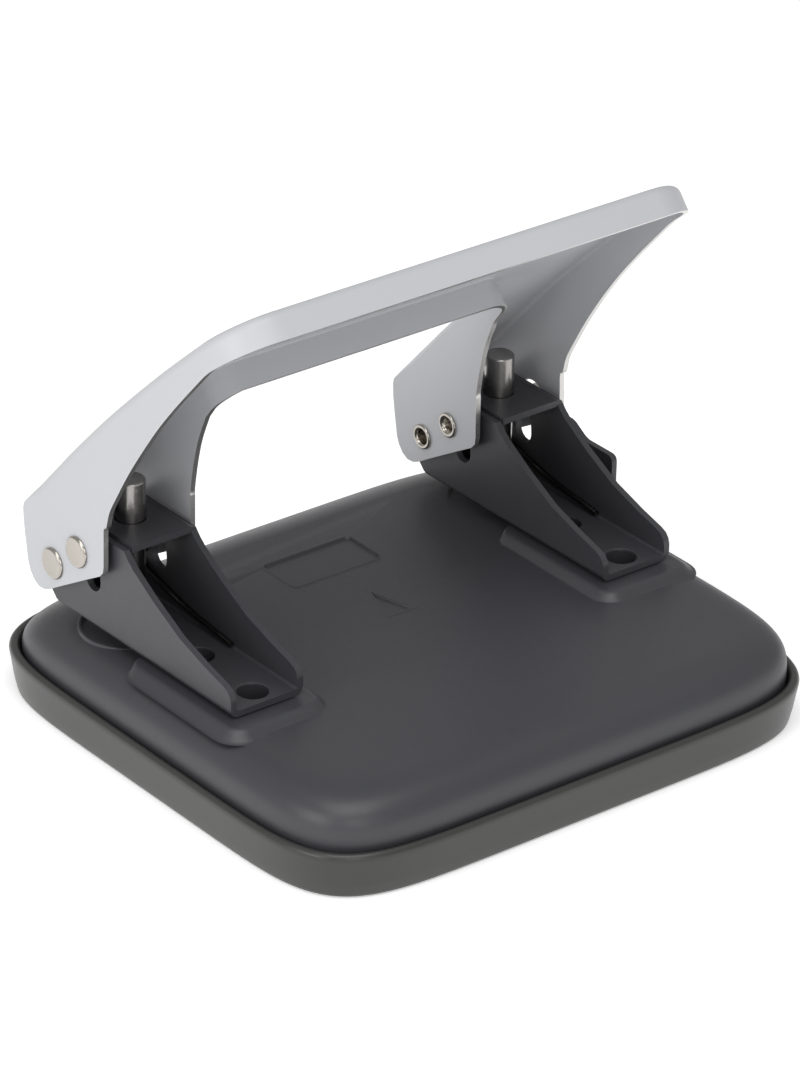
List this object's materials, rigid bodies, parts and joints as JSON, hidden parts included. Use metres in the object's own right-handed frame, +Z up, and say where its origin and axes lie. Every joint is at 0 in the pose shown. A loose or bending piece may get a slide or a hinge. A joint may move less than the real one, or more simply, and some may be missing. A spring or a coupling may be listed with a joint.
{
  "type": "two-hole paper punch",
  "caption": "Desk paper punch: domed steel base on a clip-on chip tray, stamped brackets at both sides, wide sheet-metal lever with a window, sprung pins and a sliding lever latch",
  "frame": {"origin": "centre of the bounding box, on the table under the tray", "axes": "+X from the left punch to the right punch, +Y towards the paper side, +Z up; the lever leans to -Y"},
  "size_m": [0.1108, 0.102, 0.0918],
  "materials": {
    "dark_paint": "dark grey baked paint, satin, fine orange peel",
    "light_paint": "light silver-grey paint, satin, with a bare metal rim at cut edges",
    "smoked_plastic": "smoky translucent moulded plastic",
    "bright_steel": "ground steel",
    "nickel": "bright nickel plate",
    "spring_steel": "oil-dark spring wire"
  },
  "bodies": {
    "base": {"base_cover": "dark_paint", "left_bracket": "dark_paint", "right_bracket": "dark_paint", "left_return_spring": "spring_steel", "right_return_spring": "spring_steel"},
    "tray": {"chip_tray": "smoked_plastic"},
    "lever_arm": {"lever": "light_paint", "left_pivot_rivet": "nickel", "right_pivot_rivet": "nickel", "left_drive_rivet": "nickel", "right_drive_rivet": "nickel"},
    "left_pin": {"left_punch_pin": "bright_steel"},
    "right_pin": {"right_punch_pin": "bright_steel"},
    "latch": {"lever_latch": "dark_paint"}
  },
  "joints": [
    {"name": "lever_hinge", "type": "hinge", "parent": "base", "child": "lever_arm", "pos_m": [0, 0.0336, 0.0277], "axis": [1, 0, 0], "range_deg": [0, 35], "stiffness_Nm_per_rad": 0.4, "springref_deg": -34.38, "deforming": ["left_return_spring", "right_return_spring"]},
    {"name": "left_pin_slide", "type": "slide", "parent": "base", "child": "left_pin", "axis": [0, 0, -1], "range_m": [0, 0.005]},
    {"name": "right_pin_slide", "type": "slide", "parent": "base", "child": "right_pin", "axis": [0, 0, -1], "range_m": [0, 0.005]},
    {"name": "latch_slide", "type": "slide", "parent": "base", "child": "latch", "axis": [0, 1, 0], "range_m": [0, 0.005]},
    {"name": "tray_release", "type": "slide", "parent": "base", "child": "tray", "axis": [0, 0, -1], "range_m": [0, 0.025]}
  ],
  "couplings": [
    {"joint": "left_pin_slide", "follows": "lever_hinge", "m_per_rad": 0.008075},
    {"joint": "right_pin_slide", "follows": "lever_hinge", "m_per_rad": 0.008075}
  ]
}
